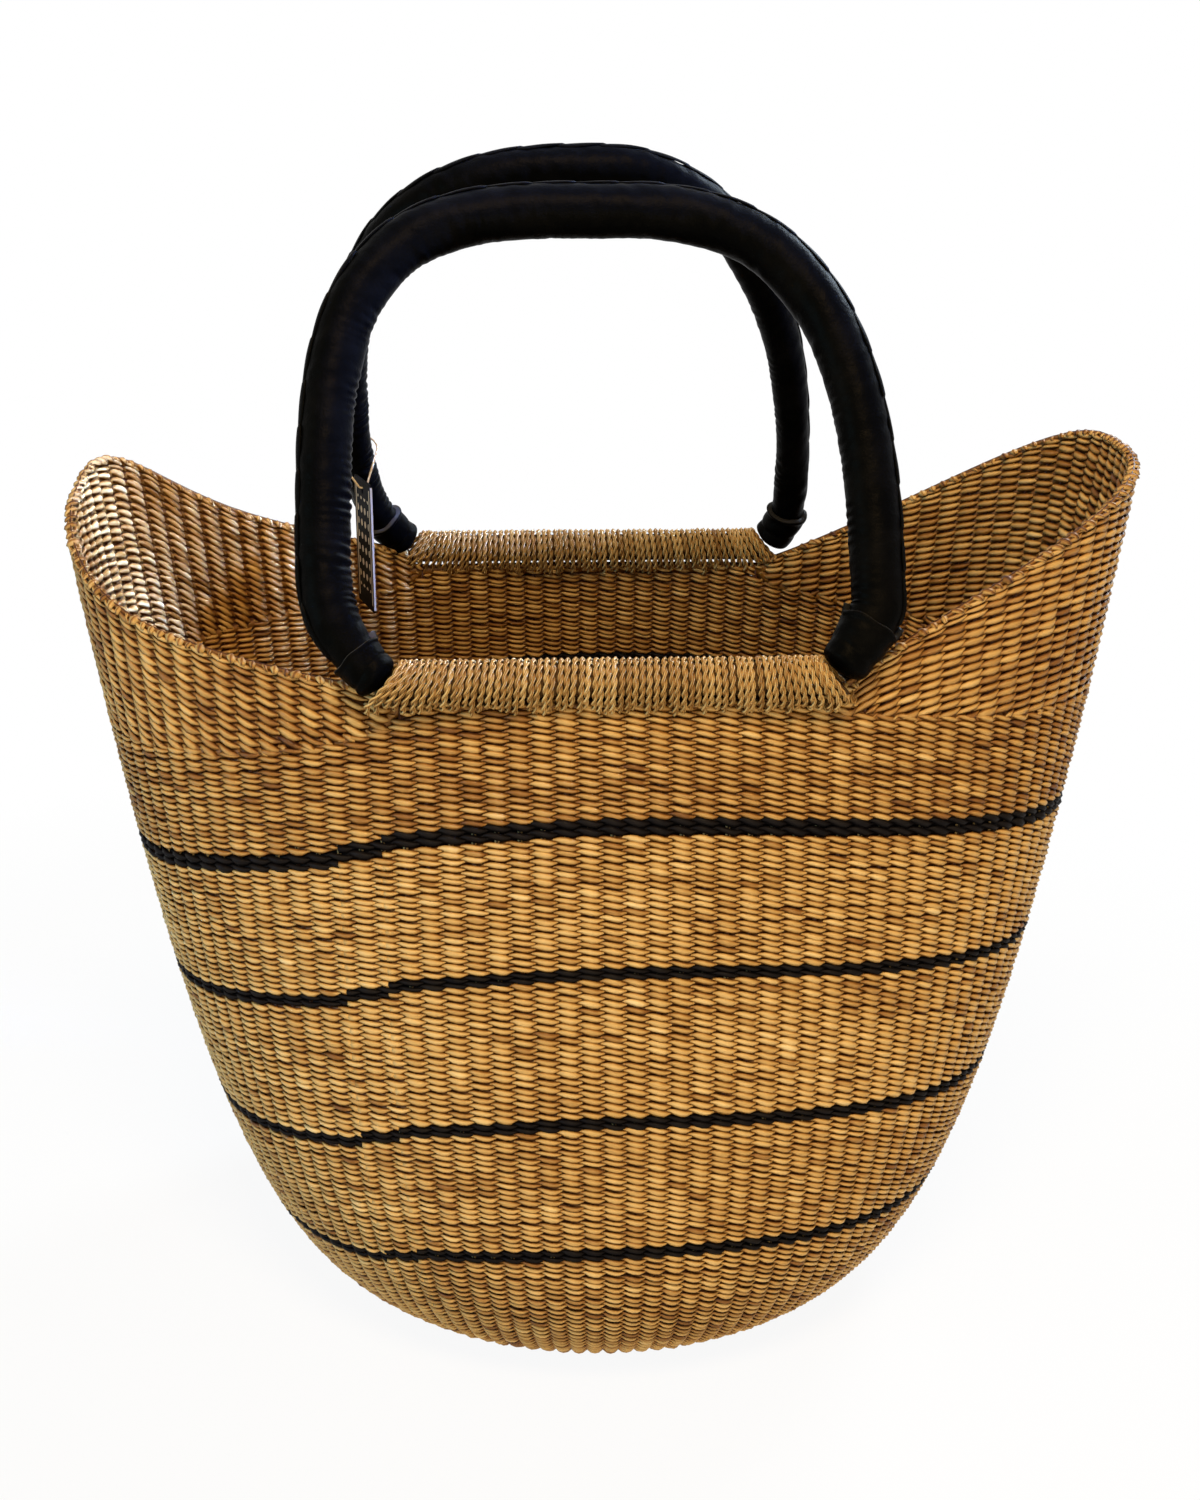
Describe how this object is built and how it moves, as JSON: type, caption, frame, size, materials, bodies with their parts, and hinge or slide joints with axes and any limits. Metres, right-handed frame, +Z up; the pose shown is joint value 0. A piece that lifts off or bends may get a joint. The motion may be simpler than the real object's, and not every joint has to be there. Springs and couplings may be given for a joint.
{
  "type": "straw tote bag",
  "caption": "Twined straw tote bag with dark stripes, a saddle-shaped rim with raised sides, cord-wound rim grips, swinging leather bow handles and a plain hang tag.",
  "frame": {"origin": "middle of the flat underside of the base mat, on the surface the bag stands on", "axes": "+Z up, +X to the right of the front seen in the picture, +Y from the front to the rear"},
  "size_m": [0.4554, 0.2972, 0.5008],
  "materials": {
    "straw": "satin twined grass",
    "dark_straw": "satin dyed grass",
    "grip_cord": "satin two-ply grass cord",
    "grass_core": "matte grass bundle",
    "leather": "satin, lightly creased",
    "tag_card": "matte print",
    "tag_twine": "matte twine"
  },
  "bodies": {
    "bag": {"base_mat": "straw", "wall_band_1": "straw", "wall_band_2": "straw", "wall_band_3": "straw", "wall_band_4": "straw", "wall_band_5": "straw", "left_wing": "straw", "right_wing": "straw", "left_wing_border": "straw", "right_wing_border": "straw", "stripe_1": "dark_straw", "stripe_2": "dark_straw", "stripe_3": "dark_straw", "stripe_4": "dark_straw", "front_rim_bundle": "grass_core", "rear_rim_bundle": "grass_core", "front_rim_wrap": "grip_cord", "rear_rim_wrap": "grip_cord"},
    "front_handle": {"front_handle_core": "grass_core", "front_handle_cover": "leather", "front_handle_lacing": "leather", "front_left_cuff": "leather", "front_right_cuff": "leather"},
    "rear_handle": {"rear_handle_core": "grass_core", "rear_handle_cover": "leather", "rear_handle_lacing": "leather", "rear_left_cuff": "leather", "rear_right_cuff": "leather"},
    "tag": {"tag_string": "tag_twine", "hang_tag": "tag_card"}
  },
  "joints": [
    {"name": "front_handle_swing", "type": "hinge", "parent": "bag", "child": "front_handle", "pos_m": [0, -0.1083, 0.3065], "axis": [1, 0, 0], "range_deg": [-4, 120]},
    {"name": "rear_handle_swing", "type": "hinge", "parent": "bag", "child": "rear_handle", "pos_m": [0, 0.1083, 0.3065], "axis": [-1, 0, 0], "range_deg": [-4, 120]},
    {"name": "tag_swing", "type": "hinge", "parent": "rear_handle", "child": "tag", "pos_m": [-0.11063, 0.08564, 0.35989], "axis": [-0.0545, -0.3902, 0.9191], "range_deg": [-40, 40]}
  ]
}
